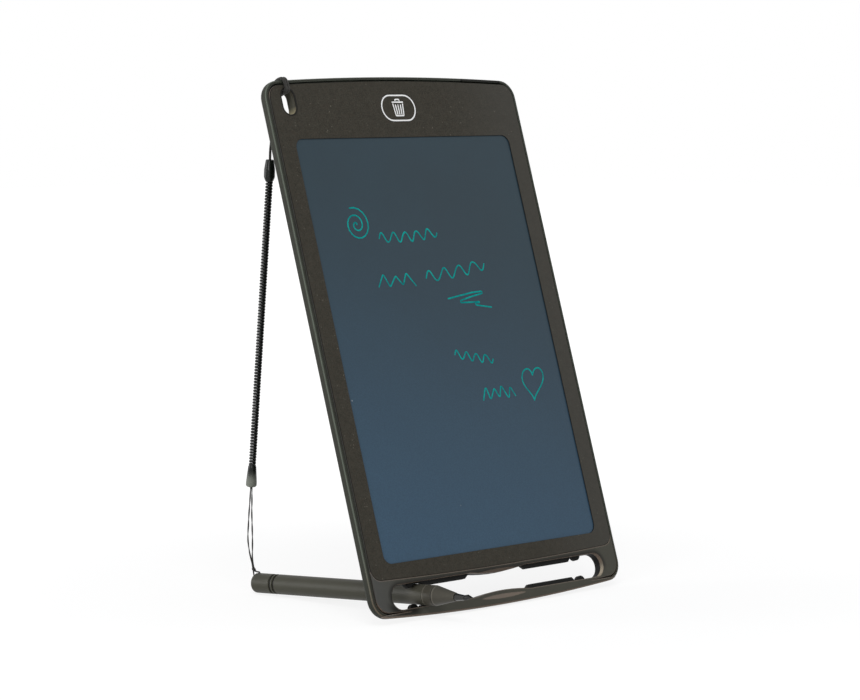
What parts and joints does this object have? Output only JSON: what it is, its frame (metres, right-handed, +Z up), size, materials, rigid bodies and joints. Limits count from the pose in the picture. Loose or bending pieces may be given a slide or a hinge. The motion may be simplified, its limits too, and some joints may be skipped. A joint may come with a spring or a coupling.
{
  "type": "lcd writing tablet",
  "caption": "Slim LCD writing tablet leaning on its own stylus, which stands through a long slot below the screen, with an erase key, a coin-cell drawer and a coiled lanyard.",
  "frame": {"origin": "centre of the standing object's footprint on the table: middle of the tablet's width, half way from the nib to the stylus's tail", "axes": "+Z up, +X to the viewer's right across the tablet, +Y to the rear, towards the stylus's tail; the screen faces -Y and leans back 17.4 degrees"},
  "size_m": [0.1462, 0.1231, 0.2187],
  "materials": {
    "shell_plastic": "satin moulded ABS, dark grey",
    "frame_plastic": "satin moulded ABS, dark grey",
    "front_sheet": "fine pearl-textured warm grey",
    "key_sheet": "fine pearl-textured warm grey with a white printed ring",
    "lcd_film": "semi-gloss blue-grey liquid-crystal film",
    "black_sheet": "matt black",
    "clear_tape": "adhesive film",
    "polyimide": "amber polyimide",
    "board_green": "green solder mask",
    "black_chip": "moulded epoxy",
    "ivory_plastic": "nylon",
    "ferrite": "ferrite",
    "ceramic_tan": "ceramic",
    "gold_contact": "plated spring strip",
    "cell_steel": "plated steel can",
    "stylus_plastic": "satin moulded ABS, warm dark grey",
    "nib_holder_plastic": "polished grey",
    "nib_plastic": "acetal",
    "lanyard_thread": "braided nylon",
    "lanyard_plastic": "glossy black"
  },
  "bodies": {
    "tablet": {"rear_shell": "shell_plastic", "front_frame": "frame_plastic", "front_overlay": "front_sheet", "overlay_tape": "clear_tape", "writing_film": "lcd_film", "film_backing": "black_sheet", "film_tail": "polyimide", "circuit_board": "board_green", "tail_socket": "ivory_plastic", "driver_chip": "black_chip", "boost_coil": "ferrite", "chip_capacitors": "ceramic_tan", "switch_body": "ivory_plastic", "contact_top": "gold_contact", "contact_side": "gold_contact", "lanyard_loop": "lanyard_thread", "lanyard_thread": "lanyard_thread", "lanyard_top_ferrule": "lanyard_plastic", "lanyard_coil": "lanyard_plastic"},
    "erase_key": {"erase_button": "key_sheet", "switch_plunger": "black_chip"},
    "drawer": {"battery_drawer": "shell_plastic", "coin_cell": "cell_steel"},
    "stylus": {"stylus_barrel": "stylus_plastic", "stylus_tail_cap": "stylus_plastic", "stylus_collar": "stylus_plastic", "stylus_nose": "stylus_plastic", "nib_holder": "nib_holder_plastic", "stylus_nib": "nib_plastic", "lanyard_low_ferrule": "lanyard_plastic", "lanyard_tail_loop": "lanyard_thread"}
  },
  "joints": [
    {"name": "erase_press", "type": "slide", "parent": "tablet", "child": "erase_key", "axis": [0, 0.9542, -0.299], "range_m": [0, 0.0003], "stiffness_N_per_m": 1500, "springref_m": -0.0002},
    {"name": "drawer_slide", "type": "slide", "parent": "tablet", "child": "drawer", "axis": [0, 0.299, 0.9542], "range_m": [0, 0.024]},
    {"name": "stylus_slide", "type": "slide", "parent": "tablet", "child": "stylus", "axis": [-0.0835, 0.9949, -0.0571], "range_m": [-0.05, 0.04], "deforming": ["lanyard_coil"]}
  ]
}
